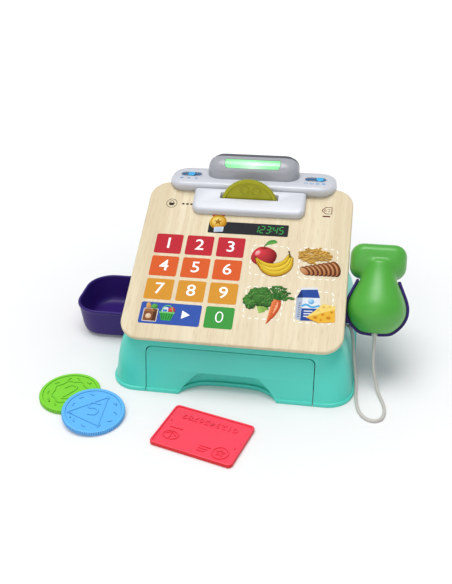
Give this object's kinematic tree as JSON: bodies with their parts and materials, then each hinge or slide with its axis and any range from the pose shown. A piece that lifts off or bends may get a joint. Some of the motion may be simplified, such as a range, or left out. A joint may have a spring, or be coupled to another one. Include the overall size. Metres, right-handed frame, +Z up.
{
  "type": "toy cash register",
  "caption": "Toy cash register: tilted wooden key panel on a teal base with sliding drawer, coin slot, card reader, coin tray and corded hand scanner in a cradle.",
  "frame": {"origin": "centre of the base's footprint, on the surface it stands on", "axes": "+X to the user's right, +Y to the back, +Z up"},
  "size_m": [0.3675, 0.3146, 0.185],
  "materials": {
    "teal_plastic": "satin moulded",
    "teal_plastic_dark": "matt moulded",
    "grey_rubber": "matt",
    "screw_steel": "plain",
    "inner_plastic": "matt",
    "dark_plastic": "matt",
    "flap_plastic": "matt",
    "beech_wood": "clear matt varnish",
    "circuit_green": "solder mask",
    "white_plastic": "gloss moulded",
    "switch_blue": "gloss",
    "slider_cyan": "gloss",
    "reader_grey": "satin moulded",
    "window_green": "translucent, lit",
    "battery_jacket": "printed sleeve",
    "purple_plastic": "satin moulded",
    "cord_grey": "satin",
    "scanner_green": "gloss moulded",
    "tip_black": "gloss",
    "coin_olive": "satin moulded",
    "coin_green": "satin moulded",
    "coin_blue": "satin moulded",
    "card_red": "satin moulded"
  },
  "bodies": {
    "register": {"base_housing": "teal_plastic", "bottom_plate": "teal_plastic_dark", "rubber_feet": "grey_rubber", "housing_screws": "screw_steel", "inner_deck": "inner_plastic", "drawer_runners": "inner_plastic", "touch_panel": "beech_wood", "touch_sensor_board": "circuit_green", "main_circuit_board": "circuit_green", "board_components": "dark_plastic", "coin_slot_bezel": "white_plastic", "coin_chute": "dark_plastic", "top_deck": "white_plastic", "switch_trims": "switch_blue", "slide_switches": "dark_plastic", "card_reader_front": "reader_grey", "card_reader_back": "reader_grey", "light_window": "window_green", "light_board": "circuit_green", "battery_box": "dark_plastic", "batteries": "battery_jacket", "battery_contacts": "screw_steel", "battery_door": "teal_plastic_dark", "battery_door_screw": "screw_steel", "speaker": "dark_plastic", "coin_tray": "purple_plastic", "scanner_cradle": "purple_plastic", "cradle_screws": "screw_steel", "cord_gland": "cord_grey", "cord": "cord_grey"},
    "drawer": {"drawer_front": "teal_plastic", "drawer_box": "teal_plastic_dark"},
    "card": {"play_card": "card_red"},
    "slot_coin_body": {"slot_coin": "coin_olive"},
    "coin_flap_body": {"coin_flap": "flap_plastic"},
    "volume_switch": {"volume_slider": "slider_cyan"},
    "mode_switch": {"mode_slider": "slider_cyan"},
    "scanner": {"scanner_front_shell": "scanner_green", "scanner_rear_shell": "scanner_green", "scanner_head_shell": "scanner_green", "scanner_cord_relief": "cord_grey", "scanner_light_board": "circuit_green", "scanner_screws": "screw_steel"},
    "scanner_tip_body": {"scanner_tip": "tip_black"},
    "green_coin_body": {"green_coin": "coin_green"},
    "blue_coin_body": {"blue_coin": "coin_blue"}
  },
  "joints": [
    {"name": "drawer_slide", "type": "slide", "parent": "register", "child": "drawer", "axis": [0, -1, 0], "range_m": [0, 0.095]},
    {"name": "card_lift", "type": "slide", "parent": "drawer", "child": "card", "axis": [0, 0, 1], "range_m": [0, 0.06]},
    {"name": "slot_coin_lift", "type": "slide", "parent": "register", "child": "slot_coin_body", "axis": [0, 0, 1], "range_m": [0, 0.05]},
    {"name": "coin_flap_hinge", "type": "hinge", "parent": "register", "child": "coin_flap_body", "pos_m": [0, 0.039, 0.1099], "axis": [-1, 0, 0], "range_deg": [0, 75], "stiffness_Nm_per_rad": 0.002, "springref_deg": -17.19},
    {"name": "volume_switch_slide", "type": "slide", "parent": "register", "child": "volume_switch", "axis": [1, 0, 0], "range_m": [-0.005, 0.005]},
    {"name": "mode_switch_slide", "type": "slide", "parent": "register", "child": "mode_switch", "axis": [-1, 0, 0], "range_m": [0, 0.0096]},
    {"name": "scanner_lift", "type": "slide", "parent": "register", "child": "scanner", "axis": [0, -0.866, 0.5], "range_m": [0, 0.07]},
    {"name": "scanner_tip_press", "type": "slide", "parent": "scanner", "child": "scanner_tip_body", "axis": [0, -0.866, 0.5], "range_m": [0, 0.002], "stiffness_N_per_m": 300},
    {"name": "green_coin_slide", "type": "slide", "parent": "register", "child": "green_coin_body", "axis": [-0.7771, 0.6293, 0], "range_m": [0, 0.04]},
    {"name": "blue_coin_lift", "type": "slide", "parent": "register", "child": "blue_coin_body", "axis": [0, 0, 1], "range_m": [0, 0.05]}
  ]
}
